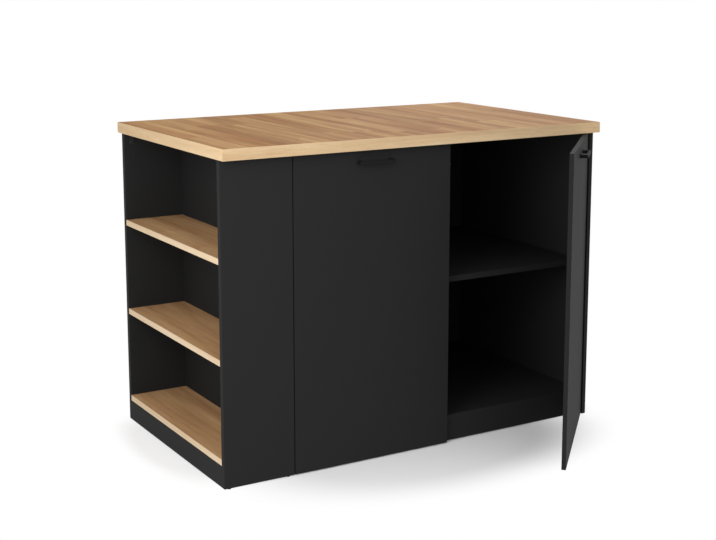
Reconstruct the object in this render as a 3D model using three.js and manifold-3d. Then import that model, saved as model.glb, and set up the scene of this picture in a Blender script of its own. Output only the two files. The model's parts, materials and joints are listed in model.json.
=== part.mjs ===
// Kitchen island: a worktop on a cabinet with an open shelf niche at its left end, a fixed front
// panel and two doors on concealed cup hinges. Millimetres, +Z up. The right door stands open.
// The cabinet frame has X to the right along the front, Y from the outer faces of the doors
// towards the back and Z up from the floor. The last lines centre the island on its origin.
import * as THREE from 'three';
import { mergeVertices } from 'three/addons/utils/BufferGeometryUtils.js';
import Module from 'manifold-3d';

// ---- driving dimensions: worktop and body ----
const WORKTOP_LENGTH = 1200;
const WORKTOP_DEPTH = 712;
const WORKTOP_THICK = 30;
const WORKTOP_BAND = 1; // edge band round the worktop
const BAND_ROUND = 0.5; // rounded long edges of the worktop's bands
const SIDE_OVERHANG = 2.5;
const FRONT_OVERHANG = 26;
const BACK_OVERHANG = 26;
const PANEL_HEIGHT = 854; // every standing panel, from glide to worktop
const GLIDE_HEIGHT = 3;
const GLIDE_RADIUS = 5.5;
const BOARD = 16; // shelves, floors, plinths, partition, fixed panel and back panel
const SIDE_BOARD = 12; // the two side boards of the cabinet
const PLINTH_HEIGHT = 59;

// ---- driving dimensions: niche ----
const NICHE_DEPTH = 175.5; // from the open end to the niche's back board
const NICHE_PITCH = 264; // from one shelf to the next
const DOWEL_RADIUS = 4; // dowels glued in the shelves' inner ends
const DOWEL_LENGTH = 12; // in the niche's back board
const DOWEL_INSET = 60; // from the front and back of a shelf to its dowels

// ---- driving dimensions: doors and cabinet ----
const DOOR_THICK = 12;
const DOOR_GAP = 3; // beside and between the doors
const DOOR_TOP_GAP = 2; // from the doors to the worktop
const DOOR_STOP_GAP = 1.5; // from a closed door to the cabinet behind it
const SHELF_SETBACK = 15; // cabinet shelves behind the front of the floor
const SHELF_PLAY = 1; // round the loose cabinet shelves
const SHELF_HEIGHT = 397.5; // cabinet shelf's underside above the floor's underside
const RIGHT_DOOR_OPEN = THREE.MathUtils.degToRad(45.4);
const BUMPER_RADIUS = 2.75;
const BUMPER_INSET = 60; // from a door's ends to its bumpers

// ---- driving dimensions: shelf pins and their rows of bores ----
const PIN_RADIUS = 2.5;
const PIN_LENGTH = 6; // in the board
const PIN_TAB = 9; // under the shelf
const PIN_TAB_WIDTH = 8;
const PIN_BORE_DEPTH = 6.6;
const PIN_INSET = 37; // from a shelf's front and back to its pins
const PIN_PITCH = 32;
const PIN_ROW = 2; // bores above and below the pin in use

// ---- driving dimensions: handles ----
const HANDLE_CENTRES = 96;
const HANDLE_FOOT = 10;
const HANDLE_BAR = 6;
const HANDLE_HEIGHT = 9;
const HANDLE_PROUD = 22;
const HANDLE_ROUND = 5; // outer corners of the bow
const HANDLE_DROP = 32; // from the door's top edge to the handle's middle
const HANDLE_SCREW_RADIUS = 2;
const HANDLE_SCREW_GRIP = 8; // length of thread in the handle
const HANDLE_SCREW_HEAD = 4;
const HANDLE_SCREW_PROUD = 2; // height of the head

// ---- driving dimensions: worktop brackets ----
const BRACKET_WIDTH = 14;
const BRACKET_THICK = 2;
const BRACKET_DROP = 31; // leg on the panel
const BRACKET_REACH = 26; // leg under the worktop
const BRACKET_END = 23; // from the open end of the niche to its bracket
const BRACKET_SCREW_DROP = 24; // from the worktop to the screw in the panel
const WOOD_SCREW_RADIUS = 1.5;
const WOOD_SCREW_HEAD = 3;
const WOOD_SCREW_PROUD = 1.5;
const WOOD_SCREW_GRIP = 9;

// ---- driving dimensions: hinges ----
// x runs from the door's hinge edge into the door, y from its inner face into the cabinet and
// z up from the hinge's middle.
const HINGE_DROP = 100; // from the door's ends to the hinges' middles
const CUP_CENTRE = 18.5;
const CUP_RADIUS = 12.7;
const CUP_DEPTH = 9.3;
const CUP_WALL = 1; // under the links
const CUP_SKIN = 0.4; // at the ends of the slot for the links
const CUP_RIM = 1; // thickness of the rim and ears lying on the door
const CUP_RIM_WIDTH = 1.5;
const CUP_EAR_SPAN = 38; // between the cup's two screws
const CUP_EAR_RADIUS = 4.2;
const CUP_SLOT = 13.2; // width of the slot for the links
const CUP_SCREW_RADIUS = 1;
const CUP_SCREW_HEAD = 3;
const CUP_SCREW_GRIP = 8;
const CARCASS_OUTER = [36.98, 6.72]; // outer link's pin in the arm
const CARCASS_INNER = [27.21, -4]; // inner link's pin in the arm
const DOOR_OUTER = [10.12, -2]; // outer link's pins in the cup
const DOOR_INNER = [10.88, -5.21]; // inner link's pin in the cup
const EYE_OFFSET = [0.58, 0.32]; // inner link's eye off its pin in the arm, with the door closed
const OUTER_RATIO = 0.286; // turn of the outer link against the door's
const INNER_RATIO = 0.346;
const LINK_PIN = 0.95;
const LINK_PLAY = 0.3; // round a pin in an eye
const EYE_PLAY = 0.75; // round the arm's pin in the inner link's eye
const LINK_EYE = 1.9; // outer radius of an eye in the cup
const LINK_NECK = 1.15; // half width of a link
const ARM_EYE = 2.3; // outer radius of an eye in the arm
const INNER_LINK_HALF = 2.1; // half thickness of the single inner link
const FORK_INNER = 2.6; // the outer link is a fork round the inner link
const FORK_OUTER = 3.6;
const CHEEK_INNER = 3.8; // the arm's cheeks stand round the fork
const CHEEK_OUTER = 4.8;
const OUTER_LINK_BENDS = [[15, -2], [19.2, 1.9], [23.6, 5.2], [29, 7.2]]; // over the arm's pin
const OUTER_LINK_WEB = [[25.6, 6.5], [30.5, 8.1]]; // joins the sides of the fork
const INNER_LINK_BEND = [17.6, -6.55];
const ARM_START = 21; // the arm's straight stretch, from the door's inner face
const ARM_END = 52;
const ARM_SHEET = 1.2;
const ARM_KNEE = [12, 10.5]; // where the arm bends towards its pins
const ARM_NOSE = [27.21, 5.22]; // where the cheeks branch to the two pins
const ARM_KNEE_RADIUS = 4.6;
const ARM_NOSE_RADIUS = 3.35;
const ARM_BACK = [[14, 14.5], [24.2, 9.4]]; // sheet between the cheeks, from knee to nose
const ARM_SCREWS = [32, 44]; // adjusting screws, from the door's inner face
const ARM_SCREW_PROUD = 1.5;
const ARM_SCREW_SLOT = 1;
const ARM_SCREW_SLOT_DEPTH = 0.7;
const PLATE_THICK = 2;
const PLATE_START = 14;
const PLATE_END = 58;
const PLATE_HALF = 6.8;
const PLATE_SETBACK = 37; // from the door's inner face to the plate's screws
const PLATE_SPAN = 32; // between the plate's screws
const PLATE_WING = 14; // width of the plate's wings
const RIB_START = 22;
const RIB_END = 54;
const RIB_HALF = 3.5;
const RIB_HEIGHT = 7;

// ---- clearances and facets ----
const FIT = 0.3; // between pieces that are set into one another
const SUNK = 0.5; // overlap of the solids that make up one piece
const PAST = 1; // how far a cutting solid runs past the face that it opens
const FACETS = 8; // small round pieces
const EYE_FACETS = 12; // the inner link's eye, which its pin reaches at both ends of the swing
const CUP_FACETS = 24;
const ARC_FACETS = 3;

// ---- places worked out from the driving dimensions ----
const BODY_LENGTH = WORKTOP_LENGTH - 2 * SIDE_OVERHANG;
const BODY_DEPTH = WORKTOP_DEPTH - FRONT_OVERHANG - BACK_OVERHANG;
const BOTTOM = GLIDE_HEIGHT;
const TOP = BOTTOM + PANEL_HEIGHT;
const BACK_FACE = BODY_DEPTH - BOARD; // inner face of the back panel
const CARCASS_FRONT = DOOR_THICK + DOOR_STOP_GAP;
const FIXED_PANEL = NICHE_DEPTH + BOARD + SIDE_BOARD; // covers the boards behind the niche
const FLOOR_Z = BOTTOM + PLINTH_HEIGHT;
const LEFT_FACE = FIXED_PANEL; // inner faces of the cabinet's sides
const RIGHT_FACE = BODY_LENGTH - SIDE_BOARD;
const OPENING = RIGHT_FACE - LEFT_FACE;
const MIDDLE = (LEFT_FACE + RIGHT_FACE) / 2;
const DOOR_WIDTH = (OPENING - 3 * DOOR_GAP) / 2;
const DOOR_TOP = TOP - DOOR_TOP_GAP;
const SHELF_Z = FLOOR_Z + SHELF_HEIGHT;
const SHELF_FRONT = CARCASS_FRONT + SHELF_SETBACK;
const SHELF_BACK = BACK_FACE - SHELF_PLAY;
const PIN_ROWS_Y = { front: SHELF_FRONT + PIN_INSET, rear: SHELF_BACK - PIN_INSET };
const PIN_Z = SHELF_Z - PIN_RADIUS;
const HINGE_HEIGHTS = { lower: BOTTOM + HINGE_DROP, upper: DOOR_TOP - HINGE_DROP };
const HANDLE_Z = DOOR_TOP - HANDLE_DROP;

// ---- materials ----
const finish = (color, roughness, metalness = 0) =>
  new THREE.MeshStandardMaterial({ color, roughness, metalness });
const OAK_TOP = finish(0xb8926c, 0.5);
const OAK_EDGE = finish(0xdebe91, 0.5);
const OAK_SHELF = finish(0xaa8764, 0.5);
const BLACK_BOARD = finish(0x2e2e2e, 0.6);
const BLACK_METAL = finish(0x141414, 0.4, 0.4);
const NICKEL = finish(0xc4c4c0, 0.25, 1);
const CLEAR_PLASTIC = finish(0xd8d8d4, 0.4);

// ---- solids ----
const wasm = await Module();
wasm.setup();

function toSolid(geometry) {
  const plain = geometry.clone();
  plain.deleteAttribute('normal');
  plain.deleteAttribute('uv');
  const merged = mergeVertices(plain, 1e-4);
  return new wasm.Manifold(new wasm.Mesh({
    numProp: 3,
    vertProperties: new Float32Array(merged.attributes.position.array),
    triVerts: new Uint32Array(merged.index.array),
  }));
}

function toGeometry(solid) {
  const mesh = solid.getMesh();
  const geometry = new THREE.BufferGeometry();
  geometry.setAttribute('position', new THREE.BufferAttribute(new Float32Array(mesh.vertProperties), 3));
  geometry.setIndex(new THREE.BufferAttribute(new Uint32Array(mesh.triVerts), 1));
  return geometry;
}

const join = (...solids) => solids.reduce((whole, solid) => whole.add(solid));
const cut = (solid, ...tools) => tools.reduce((rest, tool) => rest.subtract(tool), solid);

// Box from ranges along x, y and z. A range may be given in either order.
function block(...ranges) {
  const sizes = ranges.map(([from, to]) => Math.abs(to - from));
  const middles = ranges.map(([from, to]) => (from + to) / 2);
  return toSolid(new THREE.BoxGeometry(...sizes).translate(...middles));
}

// Round rod along axis x, y or z, from one place on that axis to another.
function rod(axis, middle, radius, from, to, facets = FACETS) {
  const length = Math.abs(to - from);
  const geometry = new THREE.CylinderGeometry(radius, radius, length, facets);
  if (axis === 'x') geometry.rotateZ(Math.PI / 2);
  if (axis === 'z') geometry.rotateX(Math.PI / 2);
  const half = (from + to) / 2;
  const places = { x: [half, ...middle], y: [middle[0], half, middle[1]], z: [...middle, half] };
  return toSolid(geometry.translate(...places[axis]));
}

// Outline in x and y raised along z.
function prism(outline, from, to) {
  const shape = outline instanceof THREE.Shape ? outline : new THREE.Shape(outline);
  const options = { depth: to - from, bevelEnabled: false, curveSegments: ARC_FACETS };
  return toSolid(new THREE.ExtrudeGeometry(shape, options).translate(0, 0, from));
}

// Strap between two round ends, each with its own radius.
function strap([x0, y0], [x1, y1], r0, r1, from, to) {
  const along = Math.atan2(y1 - y0, x1 - x0);
  const lean = Math.acos((r0 - r1) / Math.hypot(x1 - x0, y1 - y0));
  const outline = [];
  const arc = (x, y, radius, start, turn) => {
    for (let step = 0; step <= ARC_FACETS; step += 1) {
      const angle = along + start + (turn * step) / ARC_FACETS;
      outline.push(new THREE.Vector2(x + radius * Math.cos(angle), y + radius * Math.sin(angle)));
    }
  };
  arc(x1, y1, r1, -lean, 2 * lean);
  arc(x0, y0, r0, lean, 2 * (Math.PI - lean));
  return prism(outline, from, to);
}

// Straps along a bent line, joined at its bends.
function bentStrap(points, radii, from, to) {
  const straps = points.slice(1).map((point, index) =>
    strap(points[index], point, radii[index], radii[index + 1], from, to));
  return join(...straps);
}

// The same solid above and below the hinge's middle plane.
const bothHalves = (make, inner, outer) => join(make(inner, outer), make(-outer, -inner));

// ---- the group and its pieces ----
const cabinet = new THREE.Group();

// Mesh whose geometry is centred on itself and that stands at the solid's middle.
function piece(name, solid, material, parent = cabinet) {
  const geometry = toGeometry(solid);
  geometry.computeBoundingBox();
  const middle = geometry.boundingBox.getCenter(new THREE.Vector3());
  geometry.translate(-middle.x, -middle.y, -middle.z);
  geometry.computeVertexNormals();
  const mesh = new THREE.Mesh(geometry, material);
  mesh.name = name;
  mesh.position.copy(middle);
  parent.add(mesh);
  return mesh;
}

// Group that holds pieces in the closed cabinet's frame and turns them about a pivot.
function swung(pivotClosed, pivotNow, angle) {
  const outer = new THREE.Group();
  outer.position.set(...pivotNow, 0);
  outer.rotation.z = angle;
  const inner = new THREE.Group();
  inner.position.set(-pivotClosed[0], -pivotClosed[1], 0);
  outer.add(inner);
  cabinet.add(outer);
  return inner;
}

// ---- worktop ----
function makeWorktop() {
  const left = -SIDE_OVERHANG;
  const right = BODY_LENGTH + SIDE_OVERHANG;
  const front = -FRONT_OVERHANG;
  const back = BODY_DEPTH + BACK_OVERHANG;
  const slab = block([left + WORKTOP_BAND, right - WORKTOP_BAND],
    [front + WORKTOP_BAND, back - WORKTOP_BAND], [TOP, TOP + WORKTOP_THICK]);
  const core = cut(slab, ...Object.values(BRACKETS).map((place) => atBracket(place, bracketTopBore)));
  piece('worktop', core, OAK_TOP);

  // Section of a band: x outwards, y up, with its outer edges rounded.
  const section = new THREE.Shape();
  section.moveTo(0, 0);
  section.lineTo(WORKTOP_BAND - BAND_ROUND, 0);
  section.absarc(WORKTOP_BAND - BAND_ROUND, BAND_ROUND, BAND_ROUND, -Math.PI / 2, 0);
  section.absarc(WORKTOP_BAND - BAND_ROUND, WORKTOP_THICK - BAND_ROUND, BAND_ROUND, 0, Math.PI / 2);
  section.lineTo(0, WORKTOP_THICK);

  // Band that runs for a length, turned about Z and set at its start.
  function band(name, length, turn, x, y) {
    const options = { depth: length, bevelEnabled: false, curveSegments: ARC_FACETS };
    const geometry = new THREE.ExtrudeGeometry(section, options);
    geometry.rotateX(Math.PI / 2);
    geometry.translate(0, length, 0);
    geometry.rotateZ(turn);
    geometry.translate(x, y, TOP);
    piece(name, toSolid(geometry), OAK_EDGE);
  }
  const sideLength = WORKTOP_DEPTH - 2 * WORKTOP_BAND;
  band('edge_band_right', sideLength, 0, right - WORKTOP_BAND, front + WORKTOP_BAND);
  band('edge_band_left', sideLength, Math.PI, left + WORKTOP_BAND, back - WORKTOP_BAND);
  band('edge_band_back', WORKTOP_LENGTH, Math.PI / 2, right, back - WORKTOP_BAND);
  band('edge_band_front', WORKTOP_LENGTH, -Math.PI / 2, left, front + WORKTOP_BAND);
}

// ---- body: standing panels ----

// Bores of one row of shelf pins, going into a board from its face in the direction given.
function pinBores(face, direction) {
  const bores = [];
  for (const y of Object.values(PIN_ROWS_Y)) {
    for (let row = -PIN_ROW; row <= PIN_ROW; row += 1) {
      const z = PIN_Z + row * PIN_PITCH;
      const depth = face + direction * PIN_BORE_DEPTH;
      bores.push(rod('x', [y, z], PIN_RADIUS + FIT, face - direction * PAST, depth));
    }
  }
  return bores;
}

// Bores for the screws of the mounting plates on a side board.
function plateBores(face, direction) {
  const bores = [];
  for (const height of Object.values(HINGE_HEIGHTS)) {
    for (const z of [height - PLATE_SPAN / 2, height + PLATE_SPAN / 2]) {
      const middle = [DOOR_THICK + PLATE_SETBACK, z];
      const depth = face + direction * (WOOD_SCREW_GRIP + FIT);
      bores.push(rod('x', middle, WOOD_SCREW_RADIUS + FIT, face - direction * PAST, depth));
    }
  }
  return bores;
}

// ---- worktop brackets: place on a panel's inner face, and the way that the bracket points ----
const BRACKETS = {
  niche: { x: BRACKET_END, y: BACK_FACE, way: [0, -1] },
  left: { x: LEFT_FACE, y: BODY_DEPTH / 2, way: [1, 0] },
  right: { x: RIGHT_FACE, y: BODY_DEPTH / 2, way: [-1, 0] },
  back_left: { x: (LEFT_FACE + MIDDLE) / 2, y: BACK_FACE, way: [0, -1] },
  back_right: { x: (RIGHT_FACE + MIDDLE) / 2, y: BACK_FACE, way: [0, -1] },
};

// Solid made for a bracket that points along +x from the origin, turned and moved to its place.
function atBracket({ x, y, way }, make) {
  const turn = new THREE.Matrix4().makeRotationZ(Math.atan2(way[1], way[0]));
  return toSolid(toGeometry(make()).applyMatrix4(turn.setPosition(x, y, 0)));
}

const bracketPanelBore = () =>
  rod('x', [0, TOP - BRACKET_SCREW_DROP], WOOD_SCREW_RADIUS + FIT, PAST, -WOOD_SCREW_GRIP - FIT);
const bracketTopBore = () =>
  rod('z', [BRACKET_REACH / 2, 0], WOOD_SCREW_RADIUS + FIT, TOP - PAST, TOP + WOOD_SCREW_GRIP + FIT);

// Screw with its head on a face; into says which way along the axis the shank goes.
function woodScrew(axis, middle, face, into) {
  const head = rod(axis, middle, WOOD_SCREW_HEAD, face + into * SUNK, face - into * WOOD_SCREW_PROUD);
  const tip = face + into * WOOD_SCREW_GRIP;
  return head.add(rod(axis, middle, WOOD_SCREW_RADIUS, face - into * SUNK, tip));
}

// Angle bracket along +x from the origin, with its two screws.
function bracketSolid() {
  const half = BRACKET_WIDTH / 2;
  return join(
    block([0, BRACKET_THICK], [-half, half], [TOP - BRACKET_DROP, TOP]),
    block([0, BRACKET_REACH], [-half, half], [TOP - BRACKET_THICK, TOP]),
    woodScrew('x', [0, TOP - BRACKET_SCREW_DROP], BRACKET_THICK, -1),
    woodScrew('z', [BRACKET_REACH / 2, 0], TOP - BRACKET_THICK, 1),
  );
}

function makeBrackets() {
  for (const [name, place] of Object.entries(BRACKETS)) {
    piece(`worktop_bracket_${name}`, atBracket(place, bracketSolid), BLACK_METAL);
  }
}

// Bores for the brackets on a panel whose inner face is at x or at y.
const panelBores = (x, y) => Object.values(BRACKETS)
  .filter((place) => place.x === x || place.y === y)
  .map((place) => atBracket(place, bracketPanelBore));

// Glides under a panel, in one piece with it.
const onGlides = (panel, ...places) =>
  join(panel, ...places.map((place) => rod('z', place, GLIDE_RADIUS, 0, BOTTOM + SUNK)));

function makePanels() {
  const tall = [BOTTOM, TOP];
  const deep = [BOARD, BACK_FACE];
  const fixed = block([0, FIXED_PANEL], [0, BOARD], tall);
  const fixedGlides = [[BOARD, BOARD / 2], [FIXED_PANEL - BOARD, BOARD / 2]];
  piece('fixed_panel', onGlides(fixed, ...fixedGlides), BLACK_BOARD);
  const back = cut(block([0, BODY_LENGTH], [BACK_FACE, BODY_DEPTH], tall), ...panelBores(null, BACK_FACE));
  const backGlides = [BOARD, LEFT_FACE, MIDDLE, BODY_LENGTH - BOARD];
  const backMiddle = BACK_FACE + BOARD / 2;
  piece('back_panel', onGlides(back, ...backGlides.map((x) => [x, backMiddle])), BLACK_BOARD);
  const right = cut(block([RIGHT_FACE, BODY_LENGTH], [0, BACK_FACE], tall),
    ...pinBores(RIGHT_FACE, 1), ...plateBores(RIGHT_FACE, 1), ...panelBores(RIGHT_FACE, null));
  const rightMiddle = BODY_LENGTH - SIDE_BOARD / 2;
  const rightGlides = [[rightMiddle, BOARD], [rightMiddle, BACK_FACE - BOARD]];
  piece('side_panel_right', onGlides(right, ...rightGlides), BLACK_BOARD);
  const left = block([LEFT_FACE - SIDE_BOARD, LEFT_FACE], deep, tall);
  piece('cabinet_side_left', cut(left, ...pinBores(LEFT_FACE, -1), ...plateBores(LEFT_FACE, -1),
    ...panelBores(LEFT_FACE, null)), BLACK_BOARD);
}

// ---- niche: oak shelves doweled to the board behind them, and a plinth below ----
const NICHE_FLOORS = ['niche_floor', 'niche_shelf_lower', 'niche_shelf_upper'];
const DOWELS_Y = [BOARD + DOWEL_INSET, BACK_FACE - DOWEL_INSET];

function makeNiche() {
  const deep = [BOARD, BACK_FACE];
  const bores = [];
  NICHE_FLOORS.forEach((name, step) => {
    const z = FLOOR_Z + step * NICHE_PITCH;
    const middles = DOWELS_Y.map((y) => [y, z + BOARD / 2]);
    const dowels = middles.map((middle) =>
      rod('x', middle, DOWEL_RADIUS, NICHE_DEPTH - SUNK, NICHE_DEPTH + DOWEL_LENGTH - FIT));
    bores.push(...middles.map((middle) =>
      rod('x', middle, DOWEL_RADIUS + FIT, NICHE_DEPTH - PAST, NICHE_DEPTH + DOWEL_LENGTH)));
    piece(name, join(block([0, NICHE_DEPTH], deep, [z, z + BOARD]), ...dowels), OAK_SHELF);
  });
  const wall = cut(block([NICHE_DEPTH, LEFT_FACE - SIDE_BOARD], deep, [BOTTOM, TOP]), ...bores);
  const middle = (NICHE_DEPTH + LEFT_FACE - SIDE_BOARD) / 2;
  piece('niche_back', onGlides(wall, [middle, BODY_DEPTH / 2]), BLACK_BOARD);
  piece('niche_plinth', block([0, BOARD], deep, [BOTTOM, FLOOR_Z]), BLACK_BOARD);
}

// ---- cabinet: floor, plinth, partition and loose shelves on pins ----
function makeCabinet() {
  const deep = [CARCASS_FRONT, BACK_FACE];
  const inside = [LEFT_FACE, RIGHT_FACE];
  piece('cabinet_floor', block(inside, deep, [FLOOR_Z, FLOOR_Z + BOARD]), BLACK_BOARD);
  const plinth = block(inside, [CARCASS_FRONT, CARCASS_FRONT + BOARD], [BOTTOM, FLOOR_Z]);
  piece('cabinet_plinth', onGlides(plinth, [MIDDLE, CARCASS_FRONT + BOARD / 2]), BLACK_BOARD);
  const faces = [MIDDLE - BOARD / 2, MIDDLE + BOARD / 2];
  const partition = block(faces, deep, [FLOOR_Z + BOARD, TOP]);
  const bores = [...pinBores(faces[0], 1), ...pinBores(faces[1], -1)];
  piece('centre_partition', cut(partition, ...bores), BLACK_BOARD);

  for (const [side, from, to] of [['left', LEFT_FACE, faces[0]], ['right', faces[1], RIGHT_FACE]]) {
    const shelf = block([from + SHELF_PLAY, to - SHELF_PLAY], [SHELF_FRONT, SHELF_BACK],
      [SHELF_Z, SHELF_Z + BOARD]);
    piece(`cabinet_shelf_${side}`, shelf, BLACK_BOARD);
    for (const [end, face, way] of [['left', from, 1], ['right', to, -1]]) {
      for (const [row, y] of Object.entries(PIN_ROWS_Y)) {
        const tab = block([face, face + way * PIN_TAB], [y - PIN_TAB_WIDTH / 2, y + PIN_TAB_WIDTH / 2],
          [SHELF_Z - PIN_RADIUS, SHELF_Z]);
        const peg = rod('x', [y, PIN_Z], PIN_RADIUS, face - way * PIN_LENGTH, face + way * PIN_RADIUS);
        piece(`shelf_pin_${side}_${end}_${row}`, tab.add(peg), NICKEL);
      }
    }
  }
}

// ---- bumpers on the partition, behind the doors ----
function makeBumpers() {
  const offset = (BOARD + DOOR_GAP) / 4; // middle of the partition's edge behind each door
  const heights = { lower: FLOOR_Z + BOARD + BUMPER_INSET, upper: DOOR_TOP - BUMPER_INSET };
  for (const [side, x] of [['left', MIDDLE - offset], ['right', MIDDLE + offset]]) {
    for (const [level, z] of Object.entries(heights)) {
      const bumper = rod('y', [x, z], BUMPER_RADIUS, DOOR_THICK + FIT, CARCASS_FRONT);
      piece(`door_bumper_${side}_${level}`, bumper, CLEAR_PLASTIC);
    }
  }
}

// ---- doors ----
// Places on one door's hinges. inward is +1 where x runs from the hinge edge to the right.
function hingeFrame(edge, inward, opening) {
  const across = (x) => edge + inward * x;
  const at = ([x, y]) => [across(x), DOOR_THICK + y];
  const turn = -inward * opening;
  const about = ([px, py], [x, y], angle) => {
    const cos = Math.cos(angle);
    const sin = Math.sin(angle);
    return [px + (x - px) * cos - (y - py) * sin, py + (x - px) * sin + (y - py) * cos];
  };
  const fixed = at(CARCASS_OUTER);
  const outer = at(DOOR_OUTER);
  const inner = at(DOOR_INNER);
  const outerNow = about(fixed, outer, -OUTER_RATIO * turn);
  const fromOuter = about([0, 0], [inner[0] - outer[0], inner[1] - outer[1]], turn);
  const innerNow = [outerNow[0] + fromOuter[0], outerNow[1] + fromOuter[1]];
  return {
    across,
    at,
    door: swung(outer, outerNow, turn),
    outerLink: swung(fixed, fixed, -OUTER_RATIO * turn),
    innerLink: swung(inner, innerNow, -INNER_RATIO * turn),
  };
}

// Bow handle: a flat bar on two feet, as an outline in x and y raised over its height. The screws
// that hold it from inside the door are in one piece with it.
function handleSolid(middle) {
  const half = (HANDLE_CENTRES + HANDLE_FOOT) / 2;
  const front = -FIT - HANDLE_PROUD;
  const bow = new THREE.Shape();
  bow.moveTo(-half, -FIT);
  bow.lineTo(-half, front + HANDLE_ROUND);
  bow.absarc(-half + HANDLE_ROUND, front + HANDLE_ROUND, HANDLE_ROUND, Math.PI, 1.5 * Math.PI);
  bow.absarc(half - HANDLE_ROUND, front + HANDLE_ROUND, HANDLE_ROUND, 1.5 * Math.PI, 2 * Math.PI);
  bow.lineTo(half, -FIT);
  bow.lineTo(half - HANDLE_FOOT, -FIT);
  bow.lineTo(half - HANDLE_FOOT, front + HANDLE_BAR);
  bow.lineTo(-half + HANDLE_FOOT, front + HANDLE_BAR);
  bow.lineTo(-half + HANDLE_FOOT, -FIT);
  const outline = bow.getPoints(ARC_FACETS).map(({ x, y }) => new THREE.Vector2(middle + x, y));
  const bar = prism(outline, HANDLE_Z - HANDLE_HEIGHT / 2, HANDLE_Z + HANDLE_HEIGHT / 2);
  const screws = handleFeet(middle).map((x) => {
    const face = DOOR_THICK + FIT;
    const head = rod('y', [x, HANDLE_Z], HANDLE_SCREW_HEAD, face, face + HANDLE_SCREW_PROUD);
    return head.add(rod('y', [x, HANDLE_Z], HANDLE_SCREW_RADIUS, face + SUNK, -HANDLE_SCREW_GRIP));
  });
  return join(bar, ...screws);
}

const handleFeet = (middle) => [middle - HANDLE_CENTRES / 2, middle + HANDLE_CENTRES / 2];

function makeDoor(side, edge, inward, opening) {
  const frame = hingeFrame(edge, inward, opening);
  const middle = frame.across(DOOR_WIDTH / 2);
  const cupX = frame.across(CUP_CENTRE);
  const inside = DOOR_THICK + PAST;
  const heights = Object.entries(HINGE_HEIGHTS);
  const bores = handleFeet(middle).map((x) =>
    rod('y', [x, HANDLE_Z], HANDLE_SCREW_RADIUS + FIT, -PAST, inside));
  for (const [, z] of heights) {
    bores.push(rod('y', [cupX, z], CUP_RADIUS + FIT, DOOR_THICK - CUP_DEPTH - FIT, inside, CUP_FACETS));
    for (const ear of cupEars(z)) {
      const depth = DOOR_THICK - CUP_SCREW_GRIP - FIT;
      bores.push(rod('y', [cupX, ear], CUP_SCREW_RADIUS + FIT, depth, inside));
    }
  }
  const leaf = block([edge, frame.across(DOOR_WIDTH)], [0, DOOR_THICK], [BOTTOM, DOOR_TOP]);
  piece(`door_${side}`, cut(leaf, ...bores), BLACK_BOARD, frame.door);
  piece(`handle_${side}`, handleSolid(middle), BLACK_METAL, frame.door);
  for (const [level, z] of heights) makeHinge(`${side}_${level}`, frame, z);
}

// ---- hinges ----
const CUP_FACE = DOOR_THICK + FIT; // underside of the cup's rim
const PLATE_FACE = PLATE_THICK - DOOR_GAP; // top of the mounting plate's base
const cupEars = (z) => [z - CUP_EAR_SPAN / 2, z + CUP_EAR_SPAN / 2];

function cupScrew(middle) {
  const face = CUP_FACE + CUP_RIM;
  const head = rod('y', middle, CUP_SCREW_HEAD, face - SUNK, face + CUP_RIM);
  return head.add(rod('y', middle, CUP_SCREW_RADIUS, face + SUNK, DOOR_THICK - CUP_SCREW_GRIP));
}

// Cup: a shell with a rim and two ears, a slot for the links and pins across it.
function cupSolid({ across, at }, z) {
  const x = across(CUP_CENTRE);
  const top = CUP_FACE + CUP_RIM;
  const bottom = DOOR_THICK - CUP_DEPTH;
  const ears = cupEars(z);
  const body = join(
    rod('y', [x, z], CUP_RADIUS, bottom, top, CUP_FACETS),
    rod('y', [x, z], CUP_RADIUS + CUP_RIM_WIDTH, CUP_FACE, top, CUP_FACETS),
    block([x - CUP_EAR_RADIUS, x + CUP_EAR_RADIUS], [CUP_FACE, top], ears),
    ...ears.map((ear) => rod('y', [x, ear], CUP_EAR_RADIUS, CUP_FACE, top, CUP_FACETS / 2)),
  );
  const slotWidth = block([x - CUP_RADIUS, x + CUP_RADIUS], [bottom, top + PAST],
    [z - CUP_SLOT / 2, z + CUP_SLOT / 2]);
  const slot = rod('y', [x, z], CUP_RADIUS - CUP_SKIN, bottom + CUP_WALL, top + PAST, CUP_FACETS)
    .intersect(slotWidth);
  // The rim is open towards the hinge edge, where the links swing out.
  const mouth = block([across(0), x], [DOOR_THICK, top + PAST],
    [z - FORK_OUTER - FIT, z + FORK_OUTER + FIT]);
  const wall = CUP_SLOT / 2 + FIT;
  const stub = (from, to) => rod('z', at(DOOR_OUTER), LINK_PIN, z + from, z + to);
  return join(
    cut(body, slot, mouth),
    rod('z', at(DOOR_INNER), LINK_PIN, z - wall, z + wall),
    bothHalves(stub, INNER_LINK_HALF + FIT, wall),
    ...ears.map((ear) => cupScrew([x, ear])),
  );
}

// Fork with two cranked sides that pass over the arm's pin, joined by a web.
function outerLinkSolid({ at }, z) {
  const points = [DOOR_OUTER, ...OUTER_LINK_BENDS, CARCASS_OUTER].map(at);
  const radii = [LINK_EYE, LINK_NECK, LINK_NECK, LINK_NECK, LINK_EYE - FIT, ARM_EYE];
  const side = (from, to) => bentStrap(points, radii, z + from, z + to);
  const reach = FORK_INNER + FIT;
  const web = sheet(OUTER_LINK_WEB.map(at), z - reach, z + reach);
  const eyes = [DOOR_OUTER, CARCASS_OUTER].map((eye) =>
    rod('z', at(eye), LINK_PIN + LINK_PLAY, z - CHEEK_OUTER, z + CHEEK_OUTER));
  return cut(bothHalves(side, FORK_INNER, FORK_OUTER).add(web), ...eyes);
}

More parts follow.
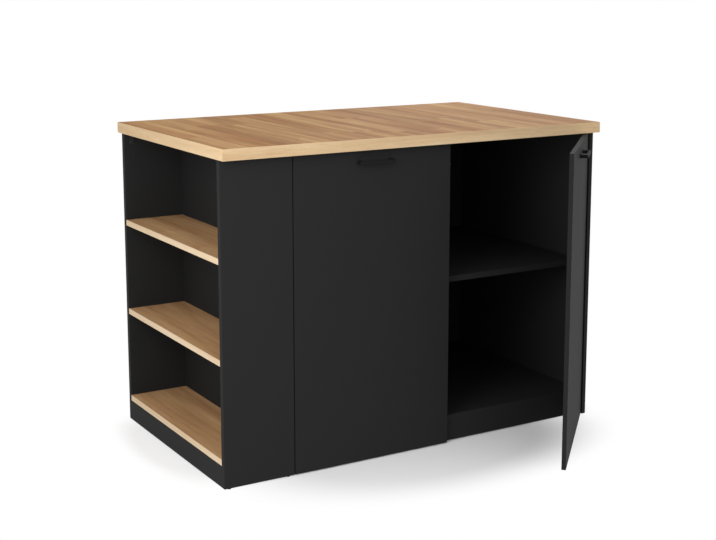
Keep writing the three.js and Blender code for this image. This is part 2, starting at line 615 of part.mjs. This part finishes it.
// Single link between the fork's sides. Its eye round the arm's pin has play.
function innerLinkSolid({ at }, z) {
  const eye = [CARCASS_INNER[0] + EYE_OFFSET[0], CARCASS_INNER[1] + EYE_OFFSET[1]];
  const points = [DOOR_INNER, INNER_LINK_BEND, eye].map(at);
  const from = z - INNER_LINK_HALF;
  const to = z + INNER_LINK_HALF;
  const eyeRadius = LINK_PIN + EYE_PLAY;
  const link = join(
    bentStrap(points, [LINK_EYE, LINK_NECK, LINK_NECK], from, to),
    rod('z', at(eye), eyeRadius + EYE_PLAY, from, to, EYE_FACETS),
  );
  return cut(link, rod('z', at(eye), eyeRadius, from - PAST, to + PAST, EYE_FACETS),
    rod('z', at(DOOR_INNER), LINK_PIN + LINK_PLAY, from - PAST, to + PAST));
}

// Pressed sheet along a bent line, as thick as the arm's.
const sheet = (points, from, to) =>
  bentStrap(points, points.map(() => ARM_SHEET / 2), from, to);

// Slotted head of an adjusting screw on the arm's back.
function armScrew({ across, at }, back, y, z) {
  const proud = (height) => across(back + height);
  const [, middle] = at([0, y]);
  const head = rod('x', [middle, z], CUP_SCREW_HEAD, proud(-SUNK), proud(ARM_SCREW_PROUD));
  const slotHalf = ARM_SCREW_SLOT / 2;
  const slot = block([proud(ARM_SCREW_PROUD - ARM_SCREW_SLOT_DEPTH), proud(ARM_SCREW_PROUD + PAST)],
    [middle - slotHalf, middle + slotHalf], [z - CUP_SCREW_HEAD, z + CUP_SCREW_HEAD]);
  return cut(head, slot);
}

// Arm: two cheeks with the pins between them, a channel over the plate's rib and its screws.
function armSolid(frame, z) {
  const { at } = frame;
  const low = PLATE_FACE + FIT;
  const back = PLATE_FACE + RIB_HEIGHT + FIT + ARM_SHEET;
  const half = (back - low) / 2;
  const line = [[low + half, ARM_END], [low + half, ARM_START], ARM_KNEE, ARM_NOSE, CARCASS_OUTER];
  const radii = [half, half, ARM_KNEE_RADIUS, ARM_NOSE_RADIUS, ARM_EYE + FIT];
  const cheek = (from, to) => join(
    bentStrap(line.map(at), radii, z + from, z + to),
    strap(at(ARM_NOSE), at(CARCASS_INNER), ARM_EYE - FIT, LINK_EYE, z + from, z + to),
  );
  const reach = CHEEK_INNER + FIT;
  const middle = back - ARM_SHEET / 2;
  const backLine = [[middle, ARM_END], [middle, ARM_START], ...ARM_BACK];
  const web = sheet(backLine.map(at), z - reach, z + reach);
  const pins = [CARCASS_OUTER, CARCASS_INNER].map((pin) =>
    rod('z', at(pin), LINK_PIN, z - CHEEK_OUTER, z + CHEEK_OUTER));
  return join(bothHalves(cheek, CHEEK_INNER, CHEEK_OUTER), web,
    ...ARM_SCREWS.map((y) => armScrew(frame, back, y, z)), ...pins);
}

// Mounting plate: a base with two wings and a rib under the arm's channel, and its screws.
function plateSolid({ across, at }, z) {
  const board = across(-DOOR_GAP);
  const base = across(PLATE_FACE);
  const rib = across(PLATE_FACE + RIB_HEIGHT);
  const deep = (from, to) => [at([0, from])[1], at([0, to])[1]];
  const [, wing] = at([0, PLATE_SETBACK]);
  const wingHalf = PLATE_WING / 2;
  const screws = [z - PLATE_SPAN / 2, z + PLATE_SPAN / 2];
  const into = Math.sign(board - base);
  return join(
    block([board, base], deep(PLATE_START, PLATE_END), [z - PLATE_HALF, z + PLATE_HALF]),
    block([board, base], [wing - wingHalf, wing + wingHalf], screws),
    ...screws.map((end) => rod('x', [wing, end], wingHalf, board, base)),
    block([board, rib], deep(RIB_START, RIB_END), [z - RIB_HALF, z + RIB_HALF]),
    ...screws.map((end) => woodScrew('x', [wing, end], base, into)),
  );
}

function makeHinge(name, frame, z) {
  piece(`hinge_plate_${name}`, plateSolid(frame, z), NICKEL);
  piece(`hinge_arm_${name}`, armSolid(frame, z), NICKEL);
  piece(`hinge_outer_link_${name}`, outerLinkSolid(frame, z), NICKEL, frame.outerLink);
  piece(`hinge_inner_link_${name}`, innerLinkSolid(frame, z), NICKEL, frame.innerLink);
  piece(`hinge_cup_${name}`, cupSolid(frame, z), NICKEL, frame.door);
}

// ---- the whole island ----
makeWorktop();
makePanels();
makeNiche();
makeCabinet();
makeBumpers();
makeBrackets();
makeDoor('left', LEFT_FACE + DOOR_GAP, 1, 0);
makeDoor('right', RIGHT_FACE - DOOR_GAP, -1, RIGHT_DOOR_OPEN);

// The origin is under the middle of everything, on the floor.
const island = new THREE.Group();
island.add(cabinet);
island.updateMatrixWorld(true);
const bounds = new THREE.Box3().setFromObject(island, true);
cabinet.position.set(-(bounds.min.x + bounds.max.x) / 2, -(bounds.min.y + bounds.max.y) / 2, 0);

export default island;
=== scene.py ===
# Kitchen island in a plain pale studio: finishes for every board, edge, handle and hinge.
# Metres, +Z up. The solids come from the frame and stay where they are.
import json
import math

import bpy
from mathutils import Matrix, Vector


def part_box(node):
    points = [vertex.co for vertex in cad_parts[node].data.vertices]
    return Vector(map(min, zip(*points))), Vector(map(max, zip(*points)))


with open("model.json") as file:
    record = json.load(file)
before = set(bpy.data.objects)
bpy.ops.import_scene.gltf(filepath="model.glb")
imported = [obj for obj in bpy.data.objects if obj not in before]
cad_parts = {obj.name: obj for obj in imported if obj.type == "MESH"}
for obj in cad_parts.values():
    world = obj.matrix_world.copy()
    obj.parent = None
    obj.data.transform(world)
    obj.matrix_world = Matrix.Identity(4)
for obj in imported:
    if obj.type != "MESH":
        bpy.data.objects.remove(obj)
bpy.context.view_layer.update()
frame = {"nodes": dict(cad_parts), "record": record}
scene = bpy.context.scene

# ---- camera: from the left, tilted down. The photograph's own camera was level, with a shift of
# 331 pixels, which would put the island outside the other views; this one comes close with 70 ----
PHOTO_WIDTH = 716  # pixels
FOCAL_PIXELS = 1344.6
SHIFT_PIXELS = 70.0
YAW = 0.5370  # radians to the right of the depth axis
TILT = 0.1676  # radians below level
EYE = Vector((-1.3844, -2.9944, 1.3131))  # from the cabinet's front left corner on the floor
SENSOR = 36.0  # millimetres
FARTHEST_SEEN = 500.0

# ---- light ----
WORLD_LEVEL = 0.70
WORLD_LEAN = (-0.18, -0.38)  # how much more light comes from +X and +Y than from the other way
LAMP_TARGET = Vector((0.4, 0.0, 0.5))
LAMPS = {  # place, size in metres and power in watts
    "key_lamp": (Vector((-1.6, -1.0, 1.2)), 1.0, 14.8),
    "back_lamp": (Vector((1.4, 1.3, 1.7)), 1.6, 9.2),
}
WHITE = (1.0, 1.0, 1.0)

# ---- floor ----
FLOOR_HALF = 150.0
FLOOR_BOUNCE = 0.8  # what the floor gives back to the island
# A soft shadow on each side of the island. It is half an ellipse on the floor: where its middle
# lies along that side and its half length, both in half lengths of the side; how far it reaches
# out, in metres; and the share of white in its darkest part.
SHADOWS = {
    "front": (1.04, 1.08, 0.36, 0.08),
    "left": (1.05, 1.05, 0.12, 0.55),
    "right": (0.9, 1.0, 0.10, 0.2),
    "back": (1.0, 1.0, 0.15, 0.2),
}
SHADOW_FADE = (0.5, 1.0)  # the shares of an ellipse's radius between which it fades out

# ---- black boards. Every colour is in linear light ----
BLACK = (0.0212, 0.0212, 0.0214)
BOARD_GLOSS = 0.05
BOARD_ROUGH, BOARD_ROUGH_CLOUDS = 0.62, 0.06  # the least, and what the clouds add
PEARL_SCALE, CLOUD_SCALE = 900.0, 3.0
PEARL_DARK, PEARL_LIGHT = 0.9, 1.1  # times the board's colour
FINE_BUMP = 0.00003

# ---- oak ----
# dark, middle and light grain
TOP_TONES = ((0.318, 0.155, 0.060), (0.470, 0.262, 0.113), (0.600, 0.375, 0.172))
EDGE_TONES = ((0.558, 0.370, 0.205), (0.672, 0.483, 0.284), (0.740, 0.562, 0.356))
# the shelves' tones are the worktop's oak made a little lighter: painted light that lifts the shade
# in the niche
SHELF_TONES_PAINTED_LIGHTER = ((0.344, 0.177, 0.078), (0.498, 0.293, 0.144), (0.637, 0.411, 0.216))
SHELF_EDGE_TONES = ((0.600, 0.420, 0.262), (0.720, 0.546, 0.360), (0.790, 0.635, 0.447))
SHELF_CONTRAST = 0.8
GRAIN_SPREAD = 0.17  # how far the dark and light tones lie from the middle of the noise
GRAIN_STRETCH = 0.06  # the noise's scale along the grain
STREAK_SCALE, STREAK_SHARE = 26.0, 0.65
FIBRE_SCALE, FIBRE_SHARE = 260.0, 0.35
WOOD_GLOSS = 0.05
WOOD_ROUGH, WOOD_ROUGH_FIBRES = 0.54, 0.12  # the least, and what the fibres add
WOOD_BUMP = 0.00006
# fine dark pores
PORE_SCALE, PORE_SHARE = 900.0, 0.5
PORE_TINTS = [(0.30, (0.80, 0.74, 0.68)), (0.42, WHITE)]
# staves set side by side in the worktop, each with a tone and a grain of its own
STAVE_WIDTH, STAVE_LENGTH = 0.075, 0.62
STAVE_TINT_SHARE = 0.75
STAVE_TINTS = [
    (0.0, (0.80, 0.74, 0.68)),
    (0.35, (0.97, 0.90, 0.84)),
    (0.7, WHITE),
    (1.0, (1.06, 1.08, 1.05)),
]
ROW_STEP = 7.31  # keeps the staves' numbers apart from row to row
STAVE_OFFSET = 40.0  # how far apart the grain of two staves is taken
# broad warm and pale streaks within a stave
FIGURE_SCALE = 13.0
FIGURE_TINTS = [(0.36, (0.92, 0.82, 0.72)), (0.5, WHITE), (0.62, (1.04, 1.07, 1.06))]
# arched growth rings
RING_COUNT, RING_SWIRL = 22.0, 6.0  # lines for each metre across, and how far they bend
RING_SCALE, RING_STRETCH = 7.0, 0.13
RING_SHARPNESS = 3.0
RING_TINT = (0.82, 0.72, 0.62)
TOP_RINGS, SHELF_RINGS = 0.45, 0.5
# the shelves' front edges and the backing paper under the worktop
BAND_THICK = 0.001
BACKING = (0.62, 0.61, 0.59)
BACKING_SCALE, BACKING_DARK = 500.0, 0.94

# ---- metal and plastic ----
BLACK_METAL = (0.012, 0.012, 0.012)
GREY_METAL = (0.03, 0.03, 0.03)
PAINT_SCALE = 1500.0
PAINT_DARK, PAINT_LIGHT = 0.85, 1.2
PAINT_ROUGH, PAINT_GLOSS = 0.6, 0.05
NICKEL_TONES = ((0.50, 0.50, 0.48), (0.62, 0.62, 0.60))
NICKEL_SCALE, NICKEL_STRETCH = 400.0, (1, 1, 6)
NICKEL_ROUGH, NICKEL_ROUGH_GRAIN = 0.26, 0.12
PLASTIC_TONES = ((0.62, 0.62, 0.6), (0.7, 0.7, 0.68))
PLASTIC_SCALE = 300.0
PLASTIC_ROUGH, PLASTIC_CLEAR = 0.3, 0.4

# ---- softened edges ----
WELD_REACH = 0.00001
EDGE_WIDTH = 0.0004
EDGE_WIDTHS = {"black_metal": 0.0008, "nickel": 0.00012, "clear_plastic": 0.0003}
EDGE_STEPS = 2
EDGE_ANGLE = math.radians(40)  # sharper corners than this are softened
FACE_WEIGHT = 100  # the largest face decides a corner's normal


def add_material(name):
    """A new node material, its tree and its shader."""
    material = bpy.data.materials.new(name)
    material.use_nodes = True
    tree = material.node_tree
    return material, tree, tree.nodes["Principled BSDF"]


def add_node(tree, kind, **settings):
    """A node whose settings and unlinked inputs are given by name."""
    made = tree.nodes.new(kind)
    for key, value in settings.items():
        if hasattr(made, key):
            setattr(made, key, value)
        else:
            made.inputs[key.replace("_", " ")].default_value = value
    return made


def math_node(tree, operation, *values):
    """The output of a Math node; each value is a number or a socket."""
    made = add_node(tree, "ShaderNodeMath", operation=operation)
    for socket, value in zip(made.inputs, values):
        if isinstance(value, (int, float)):
            socket.default_value = value
        else:
            tree.links.new(value, socket)
    return made.outputs[0]


def ramp(tree, factor, stops):
    """The colour of a ramp with (place, colour) stops."""
    made = tree.nodes.new("ShaderNodeValToRGB")
    elements = made.color_ramp.elements
    while len(elements) < len(stops):
        elements.new(0.5)
    for element, (place, colour) in zip(elements, stops):
        element.position = place
        element.color = (*colour, 1.0)
    tree.links.new(factor, made.inputs[0])
    return made.outputs[0]


def two_tones(tree, factor, dark, light):
    """A ramp that goes from dark to light over the middle of a noise."""
    return ramp(tree, factor, [(0.3, dark), (0.7, light)])


def shaded(colour, share):
    return tuple(channel * share for channel in colour)


def noise(tree, scale, detail, roughness=0.55, place_scale=(1, 1, 1), offset=None):
    """Noise on the object's own places, scaled along each axis and moved by an offset."""
    mapping = add_node(tree, "ShaderNodeMapping", Scale=place_scale)
    tree.links.new(tree.nodes.new("ShaderNodeTexCoord").outputs["Object"], mapping.inputs["Vector"])
    place = mapping.outputs[0]
    if offset is not None:
        moved = add_node(tree, "ShaderNodeVectorMath", operation="ADD")
        tree.links.new(place, moved.inputs[0])
        tree.links.new(offset, moved.inputs[1])
        place = moved.outputs[0]
    made = add_node(tree, "ShaderNodeTexNoise", Scale=scale, Detail=detail, Roughness=roughness)
    tree.links.new(place, made.inputs["Vector"])
    return made.outputs["Fac"]


def bump(tree, shader, height, distance):
    made = add_node(tree, "ShaderNodeBump", Distance=distance)
    tree.links.new(height, made.inputs["Height"])
    tree.links.new(made.outputs[0], shader.inputs["Normal"])


def mix_colour(tree, factor, first, second, blend="MIX"):
    made = add_node(tree, "ShaderNodeMix", data_type="RGBA", blend_type=blend)
    for index, value in ((0, factor), (6, first), (7, second)):  # the colour sockets' places
        socket = made.inputs[index]
        if isinstance(value, (int, float)):
            socket.default_value = value
        elif isinstance(value, tuple):
            socket.default_value = (*value, 1.0)
        else:
            tree.links.new(value, socket)
    return made.outputs[2]


def object_axes(tree):
    """The sockets of the object's own X, Y and Z."""
    parts = tree.nodes.new("ShaderNodeSeparateXYZ")
    tree.links.new(tree.nodes.new("ShaderNodeTexCoord").outputs["Object"], parts.inputs[0])
    return parts.outputs


def seen_rays(tree):
    """1 for what the camera sees, also in metal, gloss and plastic, and 0 for bounced light."""
    path = tree.nodes.new("ShaderNodeLightPath").outputs
    through = math_node(tree, "MAXIMUM", path["Is Glossy Ray"], path["Is Transmission Ray"])
    return math_node(tree, "MAXIMUM", path["Is Camera Ray"], through)


# ---- finishes ----
def black_board():
    """Matt laminate: a faint pearl in the surface and soft, uneven gloss."""
    material, tree, shader = add_material("black_board")
    pearl = noise(tree, PEARL_SCALE, detail=2.0)
    colour = two_tones(tree, pearl, shaded(BLACK, PEARL_DARK), shaded(BLACK, PEARL_LIGHT))
    tree.links.new(colour, shader.inputs["Base Color"])
    clouds = noise(tree, CLOUD_SCALE, detail=3.0)
    rough = math_node(tree, "MULTIPLY_ADD", clouds, BOARD_ROUGH_CLOUDS, BOARD_ROUGH)
    tree.links.new(rough, shader.inputs["Roughness"])
    shader.inputs["Specular IOR Level"].default_value = BOARD_GLOSS
    bump(tree, shader, pearl, FINE_BUMP)
    return material


def stave_pattern(tree, run, across):
    """A random tone and a random colour for each stave; the ends of neighbours don't line up."""
    row = math_node(tree, "FLOOR", math_node(tree, "DIVIDE", across, STAVE_WIDTH))
    shift = add_node(tree, "ShaderNodeTexWhiteNoise", noise_dimensions="1D")
    tree.links.new(row, shift.inputs["W"])
    lengths = math_node(tree, "DIVIDE", run, STAVE_LENGTH)
    steps = math_node(tree, "FLOOR", math_node(tree, "ADD", lengths, shift.outputs["Value"]))
    number = math_node(tree, "ADD", math_node(tree, "MULTIPLY", row, ROW_STEP), steps)
    pick = add_node(tree, "ShaderNodeTexWhiteNoise", noise_dimensions="1D")
    tree.links.new(number, pick.inputs["W"])
    return pick.outputs["Value"], pick.outputs["Color"]


def growth_rings(tree, across, offset):
    """Thin lines along Y that bend into arches: 0 between them, 1 on them."""
    stretch = (1, RING_STRETCH, 1)
    bend = noise(tree, RING_SCALE, detail=1.0, roughness=0.4, place_scale=stretch, offset=offset)
    straight = math_node(tree, "MULTIPLY", across, RING_COUNT)
    turns = math_node(tree, "ADD", straight, math_node(tree, "MULTIPLY", bend, RING_SWIRL))
    return math_node(tree, "POWER", math_node(tree, "FRACT", turns), RING_SHARPNESS)


def oak(name, tones, along="Y", staves=False, contrast=1.0, rings=0.0, edge=None, under=None):
    """Oak-look laminate. The grain runs along X or Y; staves and growth rings run along Y.

    A shelf has an edge: a paler band on the face at that place along X. A worktop has an
    underside: plain backing paper on the face at that height."""
    material, tree, shader = add_material(name)
    x, y, z = object_axes(tree)
    offset = None
    if staves:
        tone, seed = stave_pattern(tree, y, x)
        far = add_node(tree, "ShaderNodeVectorMath", operation="SCALE", Scale=STAVE_OFFSET)
        tree.links.new(seed, far.inputs[0])
        offset = far.outputs[0]
    stretch = (GRAIN_STRETCH, 1, 1) if along == "X" else (1, GRAIN_STRETCH, 1)

    def grain_noise(scale, detail, roughness=0.55):
        return noise(tree, scale, detail, roughness, stretch, offset)

    fibres = grain_noise(FIBRE_SCALE, detail=5.0, roughness=0.7)
    streaks = math_node(tree, "MULTIPLY", grain_noise(STREAK_SCALE, detail=3.0), STREAK_SHARE)
    grain = math_node(tree, "ADD", streaks, math_node(tree, "MULTIPLY", fibres, FIBRE_SHARE))
    spread = GRAIN_SPREAD / contrast
    stops = (0.5 - spread, 0.5, 0.5 + spread)
    colour = ramp(tree, grain, list(zip(stops, tones)))
    if staves:
        tint = ramp(tree, tone, STAVE_TINTS)
        colour = mix_colour(tree, STAVE_TINT_SHARE, colour, tint, "MULTIPLY")
        figure = ramp(tree, grain_noise(FIGURE_SCALE, detail=2.0), FIGURE_TINTS)
        colour = mix_colour(tree, 1.0, colour, figure, "MULTIPLY")
    if rings:
        shade = ramp(tree, growth_rings(tree, x, offset), [(0.0, WHITE), (1.0, RING_TINT)])
        colour = mix_colour(tree, rings, colour, shade, "MULTIPLY")
    pores = ramp(tree, grain_noise(PORE_SCALE, detail=2.0), PORE_TINTS)
    colour = mix_colour(tree, PORE_SHARE, colour, pores, "MULTIPLY")
    if edge is not None:
        on_edge = math_node(tree, "LESS_THAN", x, edge + BAND_THICK)
        band = ramp(tree, grain, list(zip(stops, SHELF_EDGE_TONES)))
        colour = mix_colour(tree, on_edge, colour, band)
    if under is not None:
        below = math_node(tree, "LESS_THAN", z, under + BAND_THICK)
        fuzz = noise(tree, BACKING_SCALE, detail=2.0)
        paper = two_tones(tree, fuzz, shaded(BACKING, BACKING_DARK), BACKING)
        colour = mix_colour(tree, below, colour, paper)
    tree.links.new(colour, shader.inputs["Base Color"])
    rough = math_node(tree, "MULTIPLY_ADD", fibres, WOOD_ROUGH_FIBRES, WOOD_ROUGH)
    tree.links.new(rough, shader.inputs["Roughness"])
    shader.inputs["Specular IOR Level"].default_value = WOOD_GLOSS
    bump(tree, shader, fibres, WOOD_BUMP)
    return material


def painted_metal(name, colour):
    """Powder paint with a fine grain."""
    material, tree, shader = add_material(name)
    grain = noise(tree, PAINT_SCALE, detail=2.0)
    tone = two_tones(tree, grain, shaded(colour, PAINT_DARK), shaded(colour, PAINT_LIGHT))
    tree.links.new(tone, shader.inputs["Base Color"])
    shader.inputs["Roughness"].default_value = PAINT_ROUGH
    shader.inputs["Specular IOR Level"].default_value = PAINT_GLOSS
    bump(tree, shader, grain, FINE_BUMP)
    return material


def nickel():
    """Plated steel, softly brushed."""
    material, tree, shader = add_material("nickel")
    grain = noise(tree, NICKEL_SCALE, detail=3.0, place_scale=NICKEL_STRETCH)
    tree.links.new(two_tones(tree, grain, *NICKEL_TONES), shader.inputs["Base Color"])
    shader.inputs["Metallic"].default_value = 1.0
    rough = math_node(tree, "MULTIPLY_ADD", grain, NICKEL_ROUGH_GRAIN, NICKEL_ROUGH)
    tree.links.new(rough, shader.inputs["Roughness"])
    return material


def clear_plastic():
    """Milky soft plastic."""
    material, tree, shader = add_material("clear_plastic")
    clouds = noise(tree, PLASTIC_SCALE, detail=2.0)
    tree.links.new(two_tones(tree, clouds, *PLASTIC_TONES), shader.inputs["Base Color"])
    shader.inputs["Roughness"].default_value = PLASTIC_ROUGH
    shader.inputs["Transmission Weight"].default_value = PLASTIC_CLEAR
    return material


def soften_edges(node, width):
    """Small round edges; large triangles stay flat."""
    weld = node.modifiers.new("weld", "WELD")
    weld.merge_threshold = WELD_REACH
    bevel = node.modifiers.new("soft_edges", "BEVEL")
    bevel.width = width
    bevel.segments = EDGE_STEPS
    bevel.limit_method = "ANGLE"
    bevel.angle_limit = EDGE_ANGLE
    normals = node.modifiers.new("flat_faces", "WEIGHTED_NORMAL")
    normals.weight = FACE_WEIGHT
    normals.keep_sharp = True


def dress_frame():
    """A finish and softened edges for every CAD node, by its slot in the record."""
    shelf_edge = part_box("niche_floor")[0].x
    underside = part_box("worktop")[0].z
    finishes = {
        "oak_top": oak("oak_top", TOP_TONES, staves=True, rings=TOP_RINGS, under=underside),
        "oak_shelf": oak(
            "oak_shelf", SHELF_TONES_PAINTED_LIGHTER, contrast=SHELF_CONTRAST, rings=SHELF_RINGS, edge=shelf_edge
        ),
        "oak_edge": oak("oak_edge", EDGE_TONES, along="X"),
        "black_board": black_board(),
        "black_metal": painted_metal("black_metal", BLACK_METAL),
        "nickel": nickel(),
        "clear_plastic": clear_plastic(),
    }
    bracket = painted_metal("grey_metal", GREY_METAL)
    side_edge = oak("oak_edge_side", EDGE_TONES)
    slots = {part["node"]: part["material_slot"] for part in frame["record"]["subparts"]}
    for name, node in frame["nodes"].items():
        finish = finishes[slots[name]]
        if name in ("edge_band_left", "edge_band_right"):
            finish = side_edge
        elif name.startswith("worktop_bracket"):
            finish = bracket
        node.data.materials.clear()
        node.data.materials.append(finish)
        soften_edges(node, EDGE_WIDTHS.get(slots[name], EDGE_WIDTH))


# ---- the studio ----
def add_camera():
    camera = bpy.data.cameras.new("camera")
    camera.sensor_width = SENSOR
    camera.lens = FOCAL_PIXELS / PHOTO_WIDTH * SENSOR
    camera.shift_y = -SHIFT_PIXELS / PHOTO_WIDTH
    camera.clip_end = FARTHEST_SEEN
    eye = bpy.data.objects.new("camera", camera)
    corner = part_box("fixed_panel")[0]
    eye.location = Vector((corner.x, corner.y, 0.0)) + EYE
    eye.rotation_euler = (math.pi / 2 - TILT, 0.0, -YAW)
    scene.collection.objects.link(eye)
    scene.camera = eye


def add_light():
    """Soft light from all round, stronger from the front left, two lamps, and a white backdrop."""
    world = bpy.data.worlds.new("studio")
    scene.world = world
    world.use_nodes = True
    tree = world.node_tree
    tree.nodes.clear()
    parts = tree.nodes.new("ShaderNodeSeparateXYZ")
    direction = tree.nodes.new("ShaderNodeTexCoord").outputs["Generated"]
    tree.links.new(direction, parts.inputs[0])
    level = WORLD_LEVEL
    for axis, share in zip(parts.outputs, WORLD_LEAN):
        level = math_node(tree, "ADD", level, math_node(tree, "MULTIPLY", axis, share))
    light = add_node(tree, "ShaderNodeBackground", Color=(*WHITE, 1.0))
    tree.links.new(level, light.inputs["Strength"])
    backdrop = add_node(tree, "ShaderNodeBackground", Color=(*WHITE, 1.0), Strength=1.0)
    mix = tree.nodes.new("ShaderNodeMixShader")
    tree.links.new(seen_rays(tree), mix.inputs[0])
    tree.links.new(light.outputs[0], mix.inputs[1])
    tree.links.new(backdrop.outputs[0], mix.inputs[2])
    out = tree.nodes.new("ShaderNodeOutputWorld")
    tree.links.new(mix.outputs[0], out.inputs[0])

    for name, (place, size, power) in LAMPS.items():
        light = bpy.data.lights.new(name, "AREA")
        light.energy = power
        light.size = size
        lamp = bpy.data.objects.new(name, light)
        lamp.location = place
        lamp.rotation_euler = (place - LAMP_TARGET).to_track_quat("Z", "Y").to_euler()
        lamp.visible_camera = False
        scene.collection.objects.link(lamp)


def shadow_patches():
    """Each shadow's middle and half size along X and Y, and its share of white."""
    left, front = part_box("fixed_panel")[0].xy
    right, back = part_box("edge_band_back")[1].xy
    half_width, half_depth = (right - left) / 2, (back - front) / 2
    for side, (middle, half, reach, lift) in SHADOWS.items():
        if side in ("front", "back"):
            y = front if side == "front" else back
            yield (left + half_width * middle, y), (half_width * half, reach), lift
        else:
            x = left if side == "left" else right
            yield (x, front + half_depth * middle), (reach, half_depth * half), lift


def white_share(tree):
    """How white the floor looks: 1 away from the island, less in the four shadows."""
    axes = object_axes(tree)
    share = 1.0
    for middle, half, lift in shadow_patches():
        squares = []
        for axis, centre, size in zip(axes, middle, half):
            off = math_node(tree, "DIVIDE", math_node(tree, "SUBTRACT", axis, centre), size)
            squares.append(math_node(tree, "MULTIPLY", off, off))
        fade = add_node(tree, "ShaderNodeMapRange", interpolation_type="SMOOTHSTEP")
        fade.inputs["From Min"].default_value, fade.inputs["From Max"].default_value = SHADOW_FADE
        fade.inputs["To Min"].default_value = lift
        radius = math_node(tree, "SQRT", math_node(tree, "ADD", *squares))
        tree.links.new(radius, fade.inputs["Value"])
        share = math_node(tree, "MINIMUM", fade.outputs[0], share)
    return share


def add_floor():
    """A white floor. What the camera sees of it turns pure white away from the island."""
    material, tree, shader = add_material("floor")
    shader.inputs["Roughness"].default_value = 1.0
    shader.inputs["Specular IOR Level"].default_value = 0.0
    seen = seen_rays(tree)
    colour = mix_colour(tree, seen, (FLOOR_BOUNCE,) * 3, WHITE)
    tree.links.new(colour, shader.inputs["Base Color"])
    white = add_node(tree, "ShaderNodeEmission", Strength=1.0)
    mix = tree.nodes.new("ShaderNodeMixShader")
    tree.links.new(math_node(tree, "MULTIPLY", white_share(tree), seen), mix.inputs[0])
    tree.links.new(shader.outputs[0], mix.inputs[1])
    tree.links.new(white.outputs[0], mix.inputs[2])
    tree.links.new(mix.outputs[0], tree.nodes["Material Output"].inputs[0])

    corners = [(x * FLOOR_HALF, y * FLOOR_HALF, 0) for x, y in ((-1, -1), (1, -1), (1, 1), (-1, 1))]
    mesh = bpy.data.meshes.new("floor")
    mesh.from_pydata(corners, [], [(0, 1, 2, 3)])
    mesh.materials.append(material)
    floor = bpy.data.objects.new("floor", mesh)
    scene.collection.objects.link(floor)


dress_frame()
add_camera()
add_light()
add_floor()
scene.view_settings.view_transform = "Standard"
